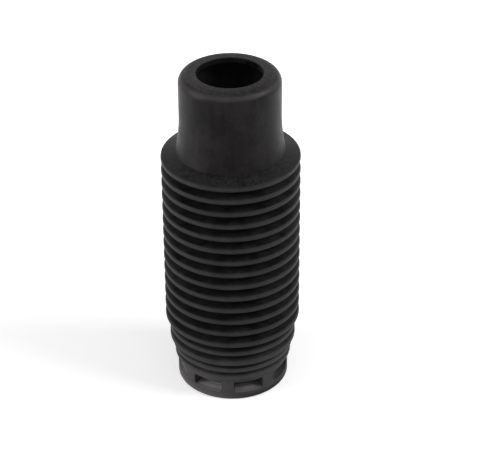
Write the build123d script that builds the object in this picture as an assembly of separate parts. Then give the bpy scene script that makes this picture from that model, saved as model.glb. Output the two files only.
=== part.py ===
from build123d import *
import math
import os

# A moulded rubber dust boot for a shock absorber: one skin, one solid.
# It stands on its cuff, axis along +Z, with the origin in the middle of the foot. Millimetres.

# Skin: one wall, square to the surface, through the bellows, the shoulder and the neck
wall = 1.5

# Cuff that grips the damper's body
cuff_radius = 29.1
cuff_bore_radius = 20.0
foot_height = 4.8
foot_rounding = 1.4
bore_rounding = 0.8
pocket_count = 8
pocket_height = 6.3
pocket_depth = 7.1
pocket_arc = 31.5
pocket_floor_corner = 1.8
pocket_roof_corner = 0.6
mouth_rounding = 0.4
roof_thickness = 2.1

# Collar at the top of the cuff, then small ribs that step out to the bellows, from the lowest up:
# how far each centre lies above the rib below it, its crest radius and the width of its crest
collar_rise = 1.65
collar_radius = 30.6
collar_width = 2.5
step_ribs = ((5.35, 31.3, 2.4), (5.6, 33.0, 3.0), (6.1, 33.1, 2.5))
step_to_folds = 6.75

# Full folds
fold_count = 14
fold_pitch = 7.1
crest_radius = 35.1
crest_width = 2.6
crest_rounding = 1.05
valley_radius = 28.5
valley_width = 1.2
valley_rounding = 0.5

# Shoulder, neck and lip
shoulder_rise = 2.75
neck_base_radius = 27.7
neck_radius = 25.5
flare_height = 19.0
neck_height = 42.0
lip_thickness = 3.0
lip_corner = 5.0
rod_hole_radius = 16.5
rod_hole_rounding = 0.5

# Heights that follow from the sizes above
pocket_top = foot_height + pocket_height
shelf_height = pocket_top + roof_thickness
collar_height = shelf_height + collar_rise


def ribs():
    """Every rib from the collar up, as (height of its centre, crest radius, width of its crest)."""
    found = [(collar_height, collar_radius, collar_width)]
    for step, radius, width in step_ribs:
        found.append((found[-1][0] + step, radius, width))
    first_fold = found[-1][0] + step_to_folds
    for turn in range(fold_count):
        found.append((first_fold + turn * fold_pitch, crest_radius, crest_width))
    return found


def rib_corners(height, radius, width):
    return [(radius, height - width / 2), (radius, height + width / 2)]


def valley_corners(below, above):
    """The two corners at the bottom of the valley, midway between two crests."""
    low = below[0] + below[2] / 2
    high = above[0] - above[2] / 2
    middle = (low + high) / 2
    return [(valley_radius, middle - valley_width / 2), (valley_radius, middle + valley_width / 2)]


def outer_half():
    """Right half of the outline, filled to the axis: foot, cuff, ribs, shoulder, neck and lip."""
    rib_list = ribs()
    collar_foot = rib_corners(*rib_list[0])[0][1]
    corners = [(0, 0), (cuff_radius, 0), (cuff_radius, collar_foot)]
    roundings = [foot_rounding, valley_rounding]
    for rib, rib_above in zip(rib_list, rib_list[1:] + [None]):
        corners += rib_corners(*rib)
        roundings += [crest_rounding] * 2
        if rib_above:
            corners += valley_corners(rib, rib_above)
            roundings += [valley_rounding] * 2
    shoulder_top = corners[-1][1] + shoulder_rise
    folds = FilletPolyline(*corners, (neck_base_radius, shoulder_top), radius=roundings)

    # The neck flares outwards towards the shoulder in one long arc
    spread = neck_base_radius - neck_radius
    flare_radius = (flare_height**2 + spread**2) / (2 * spread)
    flare_turn = math.degrees(math.asin(flare_height / flare_radius))
    flare_top = (neck_radius, shoulder_top + flare_height)
    flare = JernArc(flare_top, (0, -1), flare_radius, flare_turn)

    height = shoulder_top + neck_height
    neck = FilletPolyline(flare_top, (neck_radius, height), (0, height), radius=[lip_corner])
    axis = Line((0, height), (0, 0))
    return make_face([*folds.edges(), *flare.edges(), *neck.edges(), axis])


def block(radius, low, high):
    """A rectangle from the axis to a radius, between two heights."""
    return Pos(radius / 2, (low + high) / 2) * Rectangle(radius, high - low)


def section():
    """The half section that is turned about the axis: one wall thick, with a thick cuff and lip."""
    outer = outer_half()
    height = outer.bounding_box().max.Y
    lip_underside = height - lip_thickness
    inner = offset(outer + mirror(outer, Plane.YZ), -wall, kind=Kind.INTERSECTION)
    cavity = inner & block(crest_radius, shelf_height, lip_underside)
    rubber = outer - cavity
    rubber -= block(cuff_bore_radius, 0, shelf_height)
    rubber -= block(rod_hole_radius, lip_underside, height)
    bore_corners = rubber.vertices().filter_by(lambda v: abs(v.X - cuff_bore_radius) < 0.01)
    rubber = fillet(bore_corners, bore_rounding)
    hole_corners = rubber.vertices().filter_by(lambda v: abs(v.X - rod_hole_radius) < 0.01)
    return fillet(hole_corners, rod_hole_rounding)


def pocket():
    """One window, cut into the cuff from outside: radial ends, flat floor and roof, rounded corners."""
    clear = cuff_radius + wall
    back = cuff_radius - pocket_depth
    side = Pos((back + clear) / 2, (foot_height + pocket_top) / 2) * Rectangle(clear - back, pocket_height)
    start = Rot(0, 0, -90 - pocket_arc / 2) * Plane.XZ.location
    window = revolve(start * side, Axis.Z, pocket_arc)
    corners = window.edges().filter_by(GeomType.LINE).filter_by(Axis.Z, reverse=True).group_by(Axis.Z)
    window = fillet(corners[0], pocket_floor_corner)
    corners = window.edges().filter_by(GeomType.LINE).filter_by(Axis.Z, reverse=True).group_by(Axis.Z)
    return fillet(corners[-1], pocket_roof_corner)


def on_mouth(edge):
    """Whether an edge lies on the cuff's outside, round a pocket."""
    ends = [edge.position_at(share) for share in (0, 0.5, 1)]
    on_cuff = all(abs(math.hypot(end.X, end.Y) - cuff_radius) < 0.01 for end in ends)
    return on_cuff and all(foot_height - 0.01 < end.Z < pocket_top + 0.01 for end in ends)


def build():
    boot = revolve(Plane.XZ * section(), Axis.Z)
    window = pocket()
    boot -= [Rot(0, 0, turn * 360 / pocket_count) * window for turn in range(pocket_count)]
    return fillet(boot.edges().filter_by(on_mouth), mouth_rounding)


if __name__ == "__main__":
    os.makedirs("parts", exist_ok=True)
    boot = build()
    export_step(boot, "parts/bellows_boot.step")
    print("height", round(boot.bounding_box().max.Z, 2), "volume", round(boot.volume), "valid", boot.is_valid)
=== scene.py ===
# %% [markdown]
# # A rubber bellows boot, dressed for its picture
# The real boot is one moulded skin of black rubber. It slides over a shock absorber, where its folds let it
# shorten with the damper and keep grit off the polished rod. It has three parts in one piece: a thick cuff
# with eight pockets at the foot, a stack of sharp folds, and a smooth neck with a round hole in its flat
# top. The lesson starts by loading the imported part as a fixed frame, so that all that follows lies where
# the part lies.

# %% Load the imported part
import math
import bmesh
import bpy
from mathutils import Matrix, Vector


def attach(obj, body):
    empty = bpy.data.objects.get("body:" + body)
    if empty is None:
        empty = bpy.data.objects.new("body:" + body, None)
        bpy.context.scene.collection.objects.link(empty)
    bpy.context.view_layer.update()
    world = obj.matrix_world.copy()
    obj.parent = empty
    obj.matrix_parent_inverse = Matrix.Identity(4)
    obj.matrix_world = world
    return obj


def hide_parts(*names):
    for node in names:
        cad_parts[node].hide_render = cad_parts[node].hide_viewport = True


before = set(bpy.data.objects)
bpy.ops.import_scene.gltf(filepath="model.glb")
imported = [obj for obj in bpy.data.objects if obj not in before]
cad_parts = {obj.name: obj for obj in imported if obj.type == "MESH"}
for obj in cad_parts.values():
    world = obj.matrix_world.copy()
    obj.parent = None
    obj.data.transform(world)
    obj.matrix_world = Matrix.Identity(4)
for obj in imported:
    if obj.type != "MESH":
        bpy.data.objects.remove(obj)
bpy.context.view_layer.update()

# %% [markdown]
# ## The camera
# A tall, narrow thing looks right through a long lens from some way off: its folds then stay nearly
# parallel. The camera stands 0.76 m from the boot's axis and 0.56 m up, and looks down at it by about 32
# degrees. Its place is written as a distance, a height and a turn round the axis, because those are what
# one would move in a studio. The focal length is written in pixels of a frame 490 wide, and turned into the
# millimetres of a 36 mm sensor.

# %% Set up the camera
away, height_up = 0.7645, 0.5615
turn, look_left, look_down, lean = (math.radians(x) for x in (-16.5, 0.519, 31.709, -0.386))
frame_pixels, focal_pixels = 490, 1753.3
camera = bpy.data.objects.new("camera", bpy.data.cameras.new("camera"))
bpy.context.scene.collection.objects.link(camera)
camera.data.sensor_width = 36
camera.data.lens = focal_pixels * camera.data.sensor_width / frame_pixels
place = Matrix.Rotation(turn, 4, "Z") @ Matrix.Translation((0, -away, height_up))
aim = Matrix.Rotation(-look_left, 4, "Z") @ Matrix.Rotation(math.pi / 2 - look_down, 4, "X")
camera.matrix_world = place @ aim @ Matrix.Rotation(lean, 4, "Z")
bpy.context.scene.camera = camera
print("camera at", [round(x, 3) for x in camera.matrix_world.translation], "lens", round(camera.data.lens, 1))

# %% [markdown]
# ## The sizes
# Every size has a name and is written once, in millimetres, with MM to turn it into Blender's metres.
# Heights are counted from the foot up: the cuff, its collar, three small ribs that step out, fourteen full
# folds, then the neck. Each small rib is given as its rise above the rib below, its radius and the width of
# its crest.

# %% Name the sizes
MM = 0.001
wall = 1.5 * MM
cuff_radius, bore_radius, foot_rounding, bore_rounding = 29.1 * MM, 20.0 * MM, 1.4 * MM, 0.8 * MM
pocket_floor, pocket_roof, pocket_depth = 4.8 * MM, 11.1 * MM, 7.1 * MM
floor_corner, roof_corner, mouth_rounding = 1.8 * MM, 0.6 * MM, 0.4 * MM
pocket_count, pocket_arc = 8, math.radians(31.5)
shelf_height, collar_height, collar_radius, collar_width = 13.2 * MM, 14.85 * MM, 30.6 * MM, 2.5 * MM
step_ribs = (
    (5.35 * MM, 31.3 * MM, 2.4 * MM), (5.6 * MM, 33.0 * MM, 3.0 * MM), (6.1 * MM, 33.1 * MM, 2.5 * MM))
step_to_folds = 6.75 * MM
fold_count, fold_pitch = 14, 7.1 * MM
crest_radius, crest_width, crest_rounding = 35.1 * MM, 2.6 * MM, 1.05 * MM
valley_radius, valley_width, valley_rounding = 28.5 * MM, 1.2 * MM, 0.5 * MM
shoulder_rise, neck_base_radius, neck_radius = 2.75 * MM, 27.7 * MM, 25.5 * MM
flare_height, neck_height, lip_thickness, lip_corner = 19.0 * MM, 42.0 * MM, 3.0 * MM, 5.0 * MM
hole_radius, hole_rounding = 16.5 * MM, 0.5 * MM

# %% [markdown]
# ## Outlines, drawn on one side of the axis
# The skin is turned about an axis, so all its form is in a half outline: each corner is a radius, a height
# and the radius that rounds it. The folds all follow one rule and come later from nodes. Only the two ends
# differ, so only they are listed here. The inner line isn't drawn again: it is the outer one moved in by
# the wall.

# %% Move a line in by the wall
def moved_in(corners):
    """The inner line's corners. An inward bend gets a wider rounding there, and an outward one a tighter."""
    spots = [Vector(corner[:2]) for corner in corners]
    runs = [(b - a).normalized() for a, b in zip(spots, spots[1:])]
    inner = []
    for corner, spot, before, after in zip(corners, spots, runs[:1] + runs, runs + runs[-1:]):
        left, left_after = Vector((-before.y, before.x)), Vector((-after.y, after.x))
        moved = spot + (left + left_after) * wall / (1 + left.dot(left_after))
        inward = before.x * after.y - before.y * after.x < -1e-6
        rounding = corner[2] + wall if inward and corner[2] else max(corner[2] - wall, 0)
        inner.append((moved.x, moved.y, rounding))
    return inner


# %% Draw the cuff end
ribs = [(collar_height, collar_radius, collar_width / 2)]
for rise, radius, width in step_ribs + ((step_to_folds, crest_radius, crest_width),):
    ribs.append((ribs[-1][0] + rise, radius, width / 2))
first_fold = ribs[-1][0]
cuff_line = [(cuff_radius, shelf_height, 0), (cuff_radius, ribs[0][0] - ribs[0][2], valley_rounding)]
for (height, radius, half), (next_height, _, next_half) in zip(ribs, ribs[1:]):
    valley = (height + half + next_height - next_half) / 2
    cuff_line += [(radius, height - half, crest_rounding), (radius, height + half, crest_rounding)]
    cuff_line += [(valley_radius, valley + side * valley_width / 2, valley_rounding) for side in (-1, 1)]
cuff_line += [(crest_radius, first_fold - crest_width / 2, crest_rounding), (crest_radius, first_fold, 0)]
panel_bottom, panel_top = 2.2 * MM, 12.8 * MM
cuff_outside = [(cuff_radius, panel_top, 0)] + cuff_line[1:]
cuff_inside = moved_in(cuff_line)[::-1] + [
    (bore_radius, shelf_height, bore_rounding), (bore_radius, 0, bore_rounding),
    (cuff_radius, 0, foot_rounding), (cuff_radius, panel_bottom, 0)]
print("first full fold at", round(first_fold / MM, 2), "mm")

# %% [markdown]
# The neck flares out towards the shoulder in one long arc. An arc that runs into a straight line is the
# same as a corner with a very wide rounding, so the flare is one more corner, set where its two tangents
# meet.

# %% Draw the neck end
last_fold = first_fold + (fold_count - 1) * fold_pitch
shoulder_top = last_fold + crest_width / 2 + shoulder_rise
spread = neck_base_radius - neck_radius
flare_radius = (flare_height**2 + spread**2) / (2 * spread)
flare_bend = math.asin(flare_height / flare_radius)
flare_corner = shoulder_top + flare_height - flare_radius * math.tan(flare_bend / 2)
top = shoulder_top + neck_height
shoulder = [(crest_radius, last_fold, 0), (crest_radius, last_fold + crest_width / 2, crest_rounding),
            (neck_base_radius, shoulder_top, 0), (neck_radius, flare_corner, flare_radius)]
lip = [(neck_radius, top, lip_corner), (hole_radius, top, hole_rounding),
       (hole_radius, top - lip_thickness, hole_rounding)]
neck_inside = moved_in(shoulder + [(neck_radius, top - lip_thickness, lip_corner)])[::-1]
neck_line = shoulder + lip + neck_inside
print("boot height", round(top / MM, 2), "mm")

# %% Make the ends one object of bare edges
ends = bmesh.new()
rounding_layer = ends.verts.layers.float.new("rounding")
for line in (cuff_inside, cuff_outside, neck_line):
    points = [ends.verts.new((radius, 0, height)) for radius, height, _ in line]
    for point, (_, _, rounding) in zip(points, line):
        point[rounding_layer] = rounding
    for a, b in zip(points, points[1:]):
        ends.edges.new((a, b))
outline = bpy.data.objects.new("boot_skin", bpy.data.meshes.new("boot_skin"))
ends.to_mesh(outline.data)
bpy.context.scene.collection.objects.link(outline)
print("corners drawn by hand", len(outline.data.vertices))

# %% [markdown]
# ## A short way to write node trees
# A node tree is a sum drawn with boxes and wires. Here it is written as a sum again: a Wire is one output
# socket, and adding or multiplying wires adds the Math node that works it out, or Vector Math where they
# carry a vector. A Board is a tree, and its one method adds any other node: its kind, its settings, then
# what its sockets get.

# %% Wires and boards
class Wire:
    """One output socket. A sum on it adds the node that works it out."""

    def __init__(self, board, socket):
        self.board = board
        self.socket = socket

    def out(self, name):
        return Wire(self.board, self.board.find(self.socket.node.outputs, name))

    def maths(self, operation, first, second=None):
        vector = "VECTOR" in [each.socket.type for each in (first, second) if isinstance(each, Wire)]
        pair = {i: each for i, each in enumerate((first, second)) if each is not None}
        if vector:
            pair = {i: each if isinstance(each, (Wire, tuple)) else (each,) * 3 for i, each in pair.items()}
        kind = "ShaderNodeVectorMath" if vector else "ShaderNodeMath"
        return self.board.node(kind, {"operation": operation}, pair)

    def __add__(self, other):
        return self.maths("ADD", self, other)

    def __radd__(self, other):
        return self.maths("ADD", other, self)

    def __sub__(self, other):
        return self.maths("SUBTRACT", self, other)

    def __rsub__(self, other):
        return self.maths("SUBTRACT", other, self)

    def __mul__(self, other):
        return self.maths("MULTIPLY", self, other)

    def __rmul__(self, other):
        return self.maths("MULTIPLY", other, self)

    def __truediv__(self, other):
        return self.maths("DIVIDE", self, other)

    def __pow__(self, other):
        return self.maths("POWER", self, other)

    def __abs__(self):
        return self.maths("ABSOLUTE", self)

    def rounded_up(self):
        return self.maths("CEIL", self)

    def larger(self, other):
        return self.maths("MAXIMUM", self, other)

    def smaller(self, other):
        return self.maths("MINIMUM", self, other)

    def folded(self, half):
        """Rises to half, falls back to 0 and starts again, as the line of a bellows does."""
        return self.maths("PINGPONG", self, half)


class Board:
    """A node tree. node() adds one node and gives its first output."""

    def __init__(self, tree):
        self.tree = tree

    @staticmethod
    def find(sockets, name):
        if isinstance(name, int):
            return sockets[name]
        return next(socket for socket in sockets if socket.enabled and socket.name == name)

    def node(self, kind, settings=None, inputs=None):
        made = self.tree.nodes.new(kind)
        for name, value in (settings or {}).items():
            if name == "choices":
                for _ in range(value - len(made.index_switch_items)):
                    made.index_switch_items.new()
            else:
                setattr(made, name, value)
        for name, value in (inputs or {}).items():
            socket = self.find(made.inputs, name)
            for each in value if isinstance(value, list) else [value]:
                if isinstance(each, Wire):
                    self.tree.links.new(each.socket, socket)
                else:
                    socket.default_value = each
        first = next((socket for socket in made.outputs if socket.enabled), None)
        return Wire(self, first) if first else None


# %% Start a geometry tree
def geometry_tree(name, inputs):
    """An empty Geometry Nodes tree. Gives its board and its named inputs as wires."""
    tree = bpy.data.node_groups.new(name, "GeometryNodeTree")
    for label, kind in inputs.items():
        tree.interface.new_socket(label, in_out="INPUT", socket_type="NodeSocket" + kind)
    tree.interface.new_socket("Geometry", in_out="OUTPUT", socket_type="NodeSocketGeometry")
    board = Board(tree)
    entry = tree.nodes.new("NodeGroupInput")
    return board, {label: Wire(board, entry.outputs[label]) for label in inputs}


# %% [markdown]
# ## The folds, from one rule
# A fold could be drawn fourteen times, but then a change of pitch would mean fourteen changes. Here one
# valley is drawn, from the middle of a crest to the middle of the next: six corners that depend on the
# sizes alone. Mesh Line sets a row of points one pitch apart, and Instance on Points puts the valley on
# each. The tree is a group, because the outer and the inner line of the wall both need it, each with sizes
# of its own.

# %% The tree for a stack of folds
board, size = geometry_tree("Fold line", {
    "Turns": "Int", "Pitch": "Float", "Start": "Float", "Crest Radius": "Float", "Crest Width": "Float",
    "Crest Rounding": "Float", "Valley Radius": "Float", "Valley Width": "Float", "Valley Rounding": "Float"})


def corner(radius, height):
    return board.node("ShaderNodeCombineXYZ", inputs={"X": radius, "Z": height})


def pick(kind, choices):
    """The choice that belongs to each point, by its place in the line."""
    index = board.node("GeometryNodeInputIndex")
    return board.node("GeometryNodeIndexSwitch", {"data_type": kind, "choices": len(choices)},
                      {0: index, **{1 + i: choice for i, choice in enumerate(choices)}})


crest, valley, pitch = size["Crest Radius"], size["Valley Radius"], size["Pitch"]
half_crest, half_valley = size["Crest Width"] * 0.5, size["Valley Width"] * 0.5
middle = pitch * 0.5
spots = pick("VECTOR", [
    corner(crest, 0.0), corner(crest, half_crest), corner(valley, middle - half_valley),
    corner(valley, middle + half_valley), corner(crest, pitch - half_crest), corner(crest, pitch)])
at_crest, at_valley = size["Crest Rounding"], size["Valley Rounding"]
bends = pick("FLOAT", [0.0, at_crest, at_valley, at_valley, at_crest, 0.0])
one = board.node("GeometryNodeMeshLine", inputs={"Count": 6})
one = board.node("GeometryNodeSetPosition", inputs={"Geometry": one, "Position": spots})
one = board.node("GeometryNodeStoreNamedAttribute", {"data_type": "FLOAT", "domain": "POINT"},
                 {"Geometry": one, "Name": "rounding", "Value": bends})
row = board.node("GeometryNodeMeshLine", inputs={
    "Count": size["Turns"], "Start Location": corner(0.0, size["Start"]), "Offset": corner(0.0, pitch)})
stack = board.node("GeometryNodeInstanceOnPoints", inputs={"Points": row, "Instance": one})
stack = board.node("GeometryNodeRealizeInstances", inputs={"Geometry": stack})
board.node("NodeGroupOutput", inputs={"Geometry": stack})
fold_tree = board.tree
print("fold tree", len(fold_tree.nodes), "nodes")

# %% [markdown]
# ## One pocket of the cuff
# The pockets are windows moulded into the cuff from outside, with radial ends and softly rounded mouths.
# Cutting them with a boolean would leave sharp, ragged edges, so one panel of the cuff, an eighth of the
# way round, is woven point by point: rings of points run from the panel's edge to the mouth, over its
# rounding and down to the back wall. Each ring has the same number of points, so that neighbours join in
# neat four-sided faces.

# %% Rings of points
across, upwards, arc_steps = 16, 8, 3
back_rounding = 0.6 * MM


def side_points(start, end, steps):
    return [start.lerp(end, i / steps) for i in range(steps)]


def rectangle_ring(half, low, high):
    corners = [Vector(p) for p in ((-half, low), (half, low), (half, high), (-half, high))]
    ring = []
    for i, steps in enumerate((across, upwards, across, upwards)):
        ring += side_points(corners[i], corners[(i + 1) % 4], steps)
    return ring


def mouth_ring(grow):
    """The pocket's mouth, grown by a distance: two wide lower corners and two tight upper ones."""
    half = cuff_radius * pocket_arc / 2 + grow
    low, high = pocket_floor - grow, pocket_roof + grow
    ring = []
    for x, z, bend, start in ((-1, low, floor_corner, 180), (1, low, floor_corner, 270),
                              (1, high, roof_corner, 0), (-1, high, roof_corner, 90)):
        bend += grow
        centre = Vector((x * (half - bend), z + bend if z == low else z - bend))
        angles = [math.radians(start + 90 * i / (2 * arc_steps)) for i in range(2 * arc_steps + 1)]
        ring.append([centre + bend * Vector((math.cos(a), math.sin(a))) for a in angles])
    points = []
    for i, steps in enumerate((across, upwards, across, upwards)):
        this, following = ring[i], ring[(i + 1) % 4]
        straight = steps - 2 * arc_steps
        points += this[arc_steps:-1] + side_points(this[-1], following[0], straight) + following[:arc_steps]
    return points


# %% Weave the panel
def wrapped(point, radius):
    angle = point.x / cuff_radius
    return radius * math.sin(angle), -radius * math.cos(angle), point.y


back_radius = cuff_radius - pocket_depth
edge = rectangle_ring(cuff_radius * math.pi / pocket_count, panel_bottom, panel_top)
mouth = mouth_ring(mouth_rounding)
rings = [([a.lerp(b, share) for a, b in zip(edge, mouth)], cuff_radius) for share in (0, 0.35, 0.7, 1)]
for degrees in (30, 60, 90):
    sunk, shrunk = 1 - math.cos(math.radians(degrees)), 1 - math.sin(math.radians(degrees))
    rings.append((mouth_ring(mouth_rounding * shrunk), cuff_radius - mouth_rounding * sunk))
for degrees in (0, 30, 60, 90):
    shrunk, sunk = 1 - math.cos(math.radians(degrees)), 1 - math.sin(math.radians(degrees))
    rings.append((mouth_ring(-back_rounding * shrunk), back_radius + back_rounding * sunk))
panel = bmesh.new()
woven = [[panel.verts.new(wrapped(point, radius)) for point in ring] for ring, radius in rings]
for outer_ring, inner_ring in zip(woven, woven[1:]):
    for i in range(len(edge)):
        j = (i + 1) % len(edge)
        panel.faces.new((outer_ring[i], outer_ring[j], inner_ring[j], inner_ring[i]))
print("woven", len(rings), "rings of", len(edge), "points")

# %% [markdown]
# The back wall is closed by a small net between the last ring's four sides. Each point of the net is a
# blend of the side points that it lies between, less the blend of the corners, which would otherwise count
# twice.

# %% Close the back wall
last, _ = rings[-1]
low = last[:across + 1]
right = last[across:across + upwards + 1]
high = last[across + upwards:2 * across + upwards + 1][::-1]
left = (last[2 * across + upwards:] + last[:1])[::-1]


def net_point(i, j):
    u, v = i / across, j / upwards
    flat = (low[0] * (1 - u) + low[-1] * u) * (1 - v) + (high[0] * (1 - u) + high[-1] * u) * v
    return low[i] * (1 - v) + high[i] * v + left[j] * (1 - u) + right[j] * u - flat


def place_in_net(i):
    """Column and row of the ring's point i, counted round the edge of the net."""
    if i <= across:
        return i, 0
    if i <= across + upwards:
        return across, i - across
    if i <= 2 * across + upwards:
        return 2 * across + upwards - i, upwards
    return 0, 2 * (across + upwards) - i


net = {place_in_net(i): point for i, point in enumerate(woven[-1])}
for i in range(1, across):
    for j in range(1, upwards):
        net[i, j] = panel.verts.new(wrapped(net_point(i, j), back_radius))
for i in range(across):
    for j in range(upwards):
        panel.faces.new((net[i, j], net[i + 1, j], net[i + 1, j + 1], net[i, j + 1]))
pocket = bpy.data.objects.new("pocket_panel", bpy.data.meshes.new("pocket_panel"))
panel.to_mesh(pocket.data)
bpy.context.scene.collection.objects.link(pocket)
print("faces in one pocket panel", len(pocket.data.polygons))

# %% [markdown]
# ## The whole skin, turned about its axis
# This tree does what a mould does in one shot. It takes the bare ends, adds the outer and the inner stack
# of folds, and rounds every corner by the radius stored on it. Curve to Mesh then sweeps the outlines round
# a circle. The eight pocket panels are one panel, placed eight times by a rotation that grows with the
# index. Points that meet are merged, which closes every seam, and Realize Instances and Set Material finish
# the piece. A profile has to lie flat, so the outlines are first turned over. The circle that they are
# swept round can't be a mere point, so it has a radius, and they are moved in by as much. The inner folds
# need no sizes of their own: a corner of the wall moves along its crest by wall * tan(bend / 2).

# %% The tree for the skin
board, size = geometry_tree("Turned skin", {
    "Geometry": "Geometry", "Folds": "Int", "Pitch": "Float", "First Fold": "Float", "Crest Radius": "Float",
    "Crest Width": "Float", "Crest Rounding": "Float", "Valley Radius": "Float", "Valley Width": "Float",
    "Valley Rounding": "Float", "Wall": "Float", "Sides": "Int", "Fineness": "Float", "Pocket": "Object",
    "Pockets": "Int", "Rubber": "Material"})
run = size["Crest Radius"] - size["Valley Radius"]
rise = (size["Pitch"] - size["Crest Width"] - size["Valley Width"]) * 0.5
shift = size["Wall"] * run / ((run * run + rise * rise) ** 0.5 + rise)
same = {"Turns": size["Folds"] - 1.0, "Pitch": size["Pitch"], "Start": size["First Fold"]}
drawn = ("Crest Radius", "Crest Width", "Crest Rounding", "Valley Radius", "Valley Width", "Valley Rounding")
outer_folds = board.node("GeometryNodeGroup", {"node_tree": fold_tree}, {
    **same, **{name: size[name] for name in drawn}})
inner_folds = board.node("GeometryNodeGroup", {"node_tree": fold_tree}, {
    **same,
    "Crest Radius": size["Crest Radius"] - size["Wall"],
    "Crest Width": size["Crest Width"] - shift * 2.0,
    "Crest Rounding": 0.0,
    "Valley Radius": size["Valley Radius"] - size["Wall"],
    "Valley Width": size["Valley Width"] + shift * 2.0,
    "Valley Rounding": size["Valley Rounding"] + size["Wall"]})
print("skin tree with", len(size), "inputs")

# %% Round the corners and sweep
lines = board.node("GeometryNodeJoinGeometry", inputs={0: [size["Geometry"], outer_folds, inner_folds]})
lines = board.node("GeometryNodeMeshToCurve", inputs={"Mesh": lines})
rounding = board.node("GeometryNodeInputNamedAttribute", {"data_type": "FLOAT"}, {"Name": "rounding"})
most_chords = 12.0
chords = ((rounding / size["Fineness"]) ** 0.5).rounded_up().smaller(most_chords)
lines = board.node("GeometryNodeFilletCurve", {"mode": "POLY"}, {
    "Curve": lines, "Radius": rounding, "Count": chords, "Limit Radius": True})
path_radius = 20 * MM
lines = board.node("GeometryNodeTransform", inputs={"Geometry": lines, "Rotation": (math.pi / 2, 0, 0)})
lines = board.node("GeometryNodeTransform", inputs={"Geometry": lines, "Translation": (-path_radius, 0, 0)})
circle = board.node("GeometryNodeCurvePrimitiveCircle", inputs={
    "Resolution": size["Sides"], "Radius": path_radius})
skin = board.node("GeometryNodeCurveToMesh", inputs={"Curve": circle, "Profile Curve": lines})
print("nodes up to the sweep", len(board.tree.nodes))

# %% Place the pockets and finish
index = board.node("GeometryNodeInputIndex")
angle = board.node("ShaderNodeCombineXYZ", inputs={"Z": index * 2 * math.pi / size["Pockets"]})
spin = board.node("FunctionNodeEulerToRotation", inputs={"Euler": angle})
panels = board.node("GeometryNodeInstanceOnPoints", inputs={
    "Points": board.node("GeometryNodeMeshLine", inputs={"Count": size["Pockets"], "Offset": (0, 0, 0)}),
    "Instance": board.node("GeometryNodeObjectInfo", inputs={"Object": size["Pocket"]}).out("Geometry"),
    "Rotation": spin})
panels = board.node("GeometryNodeRealizeInstances", inputs={"Geometry": panels})
skin = board.node("GeometryNodeJoinGeometry", inputs={0: [skin, panels]})
skin = board.node("GeometryNodeMergeByDistance", inputs={"Geometry": skin, "Distance": 0.005 * MM})
skin = board.node("GeometryNodeSetShadeSmooth", inputs={"Geometry": skin})
skin = board.node("GeometryNodeSetMaterial", inputs={"Geometry": skin, "Material": size["Rubber"]})
board.node("NodeGroupOutput", inputs={"Geometry": skin})
skin_tree = board.tree
print("skin tree", len(skin_tree.nodes), "nodes")

# %% [markdown]
# ## The rubber
# Moulded rubber is never one flat black. The mould leaves a fine grain that scatters the light, pulling the
# boot off its core leaves faint upright drag marks, and the compound itself clouds slightly where it
# flowed. The shoulder and the flat top, which face up, are speckled too. The colour also grows lighter low
# on the cuff and the foot. Light and shade are painted into the colour as well: painted light on the left
# side, where the low lamps stand, in the valleys of the folds, inside the neck, on the back of the flat top
# and most of all on the floors of the pockets, and painted shade on the walls of the pockets and on the
# right of the foot. The crests of the folds are paler, partly by wear and partly by a painted highlight, and
# the rounding of the lip carries a painted highlight. The flat top is rougher, and so duller, by what
# touches it. The neck is a little darker and smoother than the folds, and it and the lighter low part are a
# touch warmer in colour. All of it reads Object coordinates, so it needs no unwrapping and stays put on the
# piece.

# %% Start the rubber
rubber = bpy.data.materials.new("moulded_black_rubber")
rubber.use_nodes = True
rubber.node_tree.nodes.clear()
board = Board(rubber.node_tree)
coordinates = board.node("ShaderNodeTexCoord")
place_on = coordinates.out("Object")
along = board.node("ShaderNodeSeparateXYZ", inputs={0: place_on})
sideways, height_on = along.out("X"), along.out("Z")
radius_on = (sideways ** 2.0 + along.out("Y") ** 2.0) ** 0.5
facing = board.node("ShaderNodeSeparateXYZ", inputs={0: coordinates.out("Normal")}).out("Z")


def fade(value, start, end):
    """Runs softly from 0 where the value is start to 1 where it is end."""
    return value.board.node("ShaderNodeMapRange", {"interpolation_type": "SMOOTHSTEP"}, {
        "Value": value, "From Min": start, "From Max": end})


print("rubber begun with", len(rubber.node_tree.nodes), "nodes")

# %% [markdown]
# Each place on the boot is a mask, a number that runs softly from 0 to 1 between two sizes. A mask may read
# the height, the radius, how far sideways a point lies, or how far its surface faces up. Masks that must
# hold at once are multiplied. The first ones say where the colour is lighter low down, and where light and
# shade are painted: on the left side, on the foot, in the pockets, in the valleys and inside the neck.

# %% Where the colour is lighter, and where light and shade are painted
# Painted light: the left side, where the low lamps stand, is made lighter than the right.
lit_side = fade(sideways, 10 * MM, -25 * MM)
# The colour grows lighter low down, and lighter still towards the left, where that share is painted light.
low_down = 0.35 * fade(height_on, 45 * MM, 22 * MM)
low_down = low_down + 0.65 * fade(height_on, 17 * MM, 12 * MM) * (0.7 + 0.6 * lit_side)
# Painted light and shade on the foot: lighter on the left, darker on the right.
foot_light_and_shade = fade(height_on, pocket_floor + 0.2 * MM, foot_rounding + 0.1 * MM) * (lit_side - 0.45)
# Inside the pockets the lighter low colour is mostly taken away, which paints shade on their walls, and a
# little painted light is put back.
in_pocket = fade(radius_on, cuff_radius - 0.05 * MM, cuff_radius - 0.7 * MM)
in_pocket = in_pocket * fade(height_on, pocket_roof + 1.4 * MM, pocket_roof + 0.4 * MM)
# The pocket floors, which face up, get painted light, most of it deep in, where the roof would shade them.
pocket_bottom = fade(facing, 0.5, 0.9) * fade(height_on, pocket_floor + 3.2 * MM, pocket_floor + 1.2 * MM)
pocket_bottom = pocket_bottom * fade(height_on, pocket_floor - 2.8 * MM, pocket_floor - 0.8 * MM)
deep_in = fade(radius_on, cuff_radius - 0.3 * MM, cuff_radius - 4 * MM)
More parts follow.
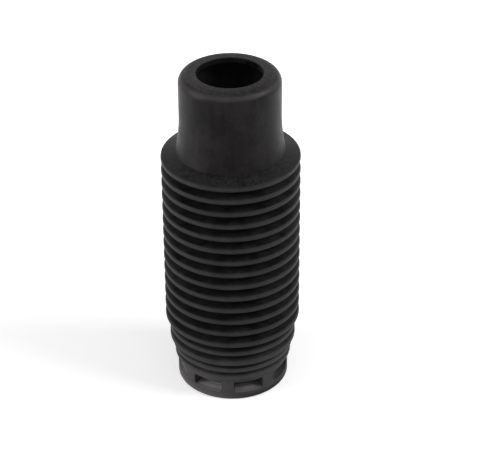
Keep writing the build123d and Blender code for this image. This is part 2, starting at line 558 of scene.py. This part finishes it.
# Painted light in the valleys of the folds, where the folds above shade them.
painted_light_in_valleys = fade(radius_on, crest_radius - 1.5 * MM, valley_radius + MM)
painted_light_in_valleys = painted_light_in_valleys * fade(height_on, 14 * MM, 17 * MM) * fade(height_on, last_fold + MM, last_fold - MM)
smooth_neck = fade(height_on, shoulder_top - 2 * MM, shoulder_top + 2 * MM)
# Painted light inside the neck, where little light reaches.
painted_light_inside = fade(radius_on, neck_radius - 0.5 * MM, neck_radius - MM)
painted_light_inside = painted_light_inside * fade(height_on, top - 2 * MM, top - 3 * MM)
print("nodes after the dusty places", len(rubber.node_tree.nodes))

# %% [markdown]
# The paler crests are one rule. A wave that folds back on itself every half pitch gives the distance from
# the nearest crest of a full fold, and the small ribs, which stand unevenly, add their own distances. So
# the mask follows the folds wherever the sizes put them. The paleness is partly wear and partly a painted
# highlight, and it lies a little above the middle of each crest, where the light from above catches it.

# %% Where the rubber is worn, and where highlights and light are painted
# The crest band is partly wear and partly a painted highlight, set a little above the middle of each crest.
crest_band_at = height_on - 0.15 * MM
far_from_folds = 9 * MM
from_crest = (crest_band_at - first_fold).folded(fold_pitch / 2)
from_crest = from_crest.larger(fade(crest_band_at, first_fold - MM, first_fold - 1.5 * MM) * far_from_folds)
for height, _, _ in ribs[:-1]:
    from_crest = from_crest.smaller(abs(crest_band_at - height))
crest_wear_and_highlight = fade(from_crest, 1.5 * MM, 0.1 * MM) * fade(radius_on, valley_radius, valley_radius + 2 * MM)
crest_wear_and_highlight = crest_wear_and_highlight * (1 - 0.5 * low_down)
# Painted highlight along the rounding of the lip.
painted_lip_highlight = fade(height_on, top - 4.2 * MM, top - 2 * MM)
painted_lip_highlight = painted_lip_highlight * (1 - 0.6 * fade(height_on, top - 1.6 * MM, top - 0.8 * MM))
painted_lip_highlight = painted_lip_highlight * fade(radius_on, hole_radius + 2 * MM, hole_radius + 4 * MM) * fade(facing, 1.0, 0.97)
flat_top = fade(facing, 0.8, 0.99) * fade(height_on, top - 2 * MM, top - MM)
# Painted light on the back of the flat top.
painted_light_top_back = flat_top * fade(along.out("Y"), -20 * MM, -2 * MM)
on_shoulder = fade(facing, 0.6, 0.9) * fade(height_on, last_fold, last_fold + 2 * MM) * (1 - flat_top)
print("nodes after the worn places", len(rubber.node_tree.nodes))

# %% [markdown]
# Four noises make the uneven surface: wide clouds, drag marks drawn out upwards, specks of about a
# millimetre, and the fine grain. The colour is then a sum: the black compound, the crests paler by wear
# and a painted highlight with the lip's painted highlight, the lighter low part with the painted light and
# shade, the painted light on the pocket floors and the flecks on what faces up. The numbers are shares of
# white in linear light, where 0.01 already looks like a dark grey, so they are small.

# %% Four noises
def noise(where, scale, detail, roughness=0.5):
    return where.board.node("ShaderNodeTexNoise", inputs={
        "Vector": where, "Scale": scale, "Detail": detail, "Roughness": roughness})


clouds = noise(place_on, 90.0, 4.0, roughness=0.6)
drag = noise(place_on * (1.0, 1.0, 0.12), 260.0, 2.0)
specks = noise(place_on, 700.0, 2.0)
grain = noise(place_on, 1500.0, 3.0, roughness=0.6)
mottled, streaks, flecks = (fade(each, 0.35, 0.65) for each in (clouds, drag, specks))
print("nodes with the noises", len(rubber.node_tree.nodes))

# %% Mix the colour
# Lighter low down; the share that grows towards the left is painted light.
pale_low = low_down * (0.6 + 0.8 * clouds)
# Painted light on the pocket floors: none in the pockets on the right, most on the far left.
pocket_light_spread = fade(sideways, 22 * MM, 6 * MM) * (0.5 + clouds) * (1 + 0.9 * lit_side)
black = 0.00175 + 0.0065 * mottled + 0.003 * streaks + 0.004 * specks - 0.003 * smooth_neck
# Crests paler by wear and a painted highlight, and a painted highlight on the lip's rounding.
wear_and_painted_highlight = 0.0165 * crest_wear_and_highlight + 0.020 * painted_lip_highlight
# The lighter low colour, painted shade on the pocket walls, and painted light in the pockets, inside the
# neck, in the valleys, on the back of the top and on the foot's left.
pale_low_and_painted_light = 0.037 * pale_low * (1 - 0.6 * in_pocket) + 0.012 * in_pocket + 0.012 * painted_light_inside
pale_low_and_painted_light = pale_low_and_painted_light + 0.006 * painted_light_in_valleys + 0.012 * painted_light_top_back + 0.06 * foot_light_and_shade
painted_pocket_light = (0.045 + 0.090 * deep_in) * pocket_bottom * pocket_light_spread
speckled = (0.010 * flat_top + 0.006 * on_shoulder) * (flecks - 0.5)
darkest = 0.002
shade = (black + wear_and_painted_highlight + pale_low_and_painted_light + painted_pocket_light + speckled).larger(darkest)
warm = (0.4 * low_down).larger(0.8 * smooth_neck)
colour = board.node("ShaderNodeCombineColor", inputs={
    "Red": shade * (1 + 0.06 * warm), "Green": shade * (1 - 0.05 * warm), "Blue": shade})
print("nodes with the colour", len(rubber.node_tree.nodes))

# %% Finish the rubber
rough = 0.41 + 0.09 * mottled + 0.05 * streaks + 0.04 * specks
rough = rough + 0.10 * pale_low - 0.08 * smooth_neck + 0.12 * flat_top
bump = board.node("ShaderNodeBump", inputs={
    "Strength": 0.6, "Distance": 0.12 * MM, "Height": grain + 0.5 * specks})
body = board.node("ShaderNodeBsdfPrincipled", inputs={
    "Base Color": colour, "Roughness": rough, "Normal": bump, "IOR": 1.5, "Specular IOR Level": 0.1,
    "Specular Tint": (1.0, 0.92, 0.96, 1.0)})
board.node("ShaderNodeOutputMaterial", inputs={"Surface": body})
print("rubber", len(rubber.node_tree.nodes), "nodes")

# %% [markdown]
# ## Grow the skin and keep it as a plain mesh
# A modifier's inputs are set by their sockets' identifiers, because two inputs may share a name. The
# evaluated object is then copied to a plain mesh and the modifier goes, so that what is kept no longer
# depends on the tree.

# %% Run a tree
def keep(piece):
    """Turns what an object's modifiers show into its own plain mesh, and takes the modifiers off."""
    bpy.context.view_layer.update()
    shown = piece.evaluated_get(bpy.context.evaluated_depsgraph_get())
    mesh = bpy.data.meshes.new_from_object(shown, preserve_all_data_layers=True,
                                           depsgraph=bpy.context.evaluated_depsgraph_get())
    piece.modifiers.clear()
    piece.data = mesh


def grow(piece, tree, values):
    """Runs a tree on an object and keeps what it makes as the object's own mesh."""
    modifier = piece.modifiers.new(tree.name, "NODES")
    modifier.node_group = tree
    for item in tree.interface.items_tree:
        if item.in_out == "INPUT" and item.name in values:
            modifier[item.identifier] = values[item.name]
    keep(piece)


# %% Grow it
grow(outline, skin_tree, {
    "Folds": fold_count, "Pitch": fold_pitch, "First Fold": first_fold, "Crest Radius": crest_radius,
    "Crest Width": crest_width, "Crest Rounding": crest_rounding, "Valley Radius": valley_radius,
    "Valley Width": valley_width, "Valley Rounding": valley_rounding, "Wall": wall, "Sides": 128,
    "Fineness": 0.08 * MM, "Pocket": pocket, "Pockets": pocket_count, "Rubber": rubber})
bpy.data.objects.remove(pocket)
skin = bmesh.new()
skin.from_mesh(outline.data)
bmesh.ops.dissolve_degenerate(skin, dist=0.002 * MM, edges=skin.edges)
bmesh.ops.recalc_face_normals(skin, faces=skin.faces)
open_edges = sum(len(e.link_faces) != 2 for e in skin.edges)
print("skin volume", round(skin.calc_volume() / MM**3), "mm3, open edges", open_edges)
print("faces", len(skin.faces))
skin.to_mesh(outline.data)

# %% [markdown]
# ## Even shading
# Smooth shading blends the directions of neighbouring faces, and beside a small rounding that would make
# the flat flanks look puffed up. Weighted Normal lets the large faces win. Edges that bend by more than 35
# degrees, such as the crease at the foot of the neck, are marked sharp first and stay crisp.

# %% Weigh the normals
outline.data.set_sharp_from_angle(angle=math.radians(35))
weigh = outline.modifiers.new("even", "WEIGHTED_NORMAL")
weigh.mode, weigh.weight, weigh.keep_sharp = "FACE_AREA", 80, True
keep(outline)
triangles = sum(len(face.vertices) - 2 for face in outline.data.polygons)
print("skin triangles", triangles)

# %% Say what the skin stands for
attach(outline, "root")
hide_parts("bellows_boot")
print(outline.name, "rides on root and stands for bellows_boot")

# %% [markdown]
# ## The studio
# The boot stands on a plain white table. A floor that were only white paint would go grey between the
# lamps, so a part of its white is its own glow, seen by the camera and by reflections alone. That part
# grows away from the boot. The rest is paint and takes the boot's soft shadow. The world behind is white to
# the eye in the same way, but it gives the boot only a third of that as light, which keeps the hollows
# between the folds deep.

# %% Floor
def seen(board):
    """1 where the eye looks, straight on, in a reflection or through glass, and 0 for light on paint."""
    rays = board.node("ShaderNodeLightPath")
    through_glass = rays.out("Is Transmission Ray")
    return rays.out("Is Camera Ray").larger(rays.out("Is Glossy Ray").larger(through_glass))


floor = bpy.data.objects.new("floor", bpy.data.meshes.new("floor"))
half_table, table_top = 3, -0.05 * MM
corners = [(x * half_table, y * half_table, table_top) for x, y in ((-1, -1), (1, -1), (1, 1), (-1, 1))]
floor.data.from_pydata(corners, [], [(0, 1, 2, 3)])
bpy.context.scene.collection.objects.link(floor)
paint = bpy.data.materials.new("table_white")
paint.use_nodes = True
paint.node_tree.nodes.clear()
board = Board(paint.node_tree)
matt = board.node("ShaderNodeBsdfDiffuse", inputs={"Color": (0.8, 0.8, 0.8, 1)})
from_boot = board.node("ShaderNodeVectorMath", {"operation": "LENGTH"}, {
    0: board.node("ShaderNodeTexCoord").out("Object")}).out("Value")
own_white = 0.4 + 0.6 * fade(from_boot, 0.1, 0.6)
glow = board.node("ShaderNodeEmission", inputs={"Color": (1, 1, 1, 1), "Strength": own_white * seen(board)})
both = board.node("ShaderNodeAddShader", inputs={0: matt, 1: glow})
board.node("ShaderNodeOutputMaterial", inputs={"Surface": both})
floor.data.materials.append(paint)
print("table", 2 * half_table, "m wide, its top at", round(table_top / MM, 2), "mm")

# %% World
world = bpy.data.worlds.new("white_room")
world.use_nodes = True
world.node_tree.nodes.clear()
bpy.context.scene.world = world
board = Board(world.node_tree)
as_light = 0.32
light = board.node("ShaderNodeBackground", inputs={
    "Color": (1, 1, 1, 1), "Strength": as_light + (1 - as_light) * seen(board)})
board.node("ShaderNodeOutputWorld", inputs={"Surface": light})
bpy.context.scene.view_settings.view_transform = "Standard"
print("world gives", as_light, "of its white as light")

# %% [markdown]
# ## The lamps
# Black rubber shows its form through its rims and highlights more than through its shade, so the strong
# lamps stand to the sides: two boxes on the left, of which the low one lights the upright walls, and the
# strongest on the right, which draws the crests. Weak ones over the camera and behind soften what lies
# between. The boxes are alike, and each is placed as in a studio: how far round from the camera, how high
# and how strong.

# %% Lamps
def softbox(name, round_from_camera, upwards_by, power, side=0.55, distance=1.1):
    """A square lamp that faces the middle of the boot, seen from it at these angles in degrees."""
    lamp = bpy.data.lights.new(name, "AREA")
    lamp.shape, lamp.size, lamp.energy = "SQUARE", side, power
    box = bpy.data.objects.new(name, lamp)
    bpy.context.scene.collection.objects.link(box)
    swing = Matrix.Rotation(turn + math.radians(round_from_camera), 4, "Z")
    tilt = Matrix.Rotation(math.radians(90 - upwards_by), 4, "X")
    middle_of_boot = Matrix.Translation((0, 0, 0.09))
    box.matrix_world = middle_of_boot @ swing @ tilt @ Matrix.Translation((0, 0, distance))
    print(name, power, "W")


softbox("softbox_left_low", -75, 10, 5.8)
softbox("softbox_left_high", -75, 35, 3.2)
softbox("softbox_right", 75, 38, 8.8)
softbox("softbox_over_camera", 0, 60, 1.0)
softbox("softbox_back", 180, 12, 0.4)
